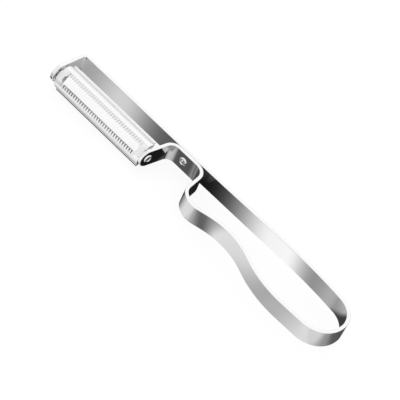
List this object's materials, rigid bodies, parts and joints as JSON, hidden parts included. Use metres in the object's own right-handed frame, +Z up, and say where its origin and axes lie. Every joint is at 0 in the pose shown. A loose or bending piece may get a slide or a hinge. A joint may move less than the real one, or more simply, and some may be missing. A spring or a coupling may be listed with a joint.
{
  "type": "vegetable peeler",
  "caption": "Side peeler bent from one polished steel strip, with a looped finger-wave handle and a swivelling two-sided blade: julienne comb over peeling lips.",
  "frame": {"origin": "middle of the whole peeler's box, at its lowest level, with the peeler lying on the edge of its strip", "axes": "+X along the straight spine from the blade to the end of the handle, +Y from the blade towards the spine, +Z up across the strip's width"},
  "size_m": [0.192, 0.0313, 0.0137],
  "materials": {
    "strip_steel": "bright polished stainless strip with fine grain along its length",
    "rivet_steel": "polished stainless rivets",
    "blade_steel": "pressed stainless sheet with a fine brushed finish"
  },
  "bodies": {
    "handle": {"handle_strip": "strip_steel", "lap_rivet": "rivet_steel", "far_pivot_rivet": "rivet_steel", "near_pivot_rivet": "rivet_steel"},
    "blade": {"julienne_shell": "blade_steel", "peeling_shell": "blade_steel"}
  },
  "joints": [
    {"name": "blade_swivel", "type": "hinge", "parent": "handle", "child": "blade", "pos_m": [-0.0628, -0.00307, 0.00867], "axis": [1, 0, 0], "continuous": true}
  ]
}
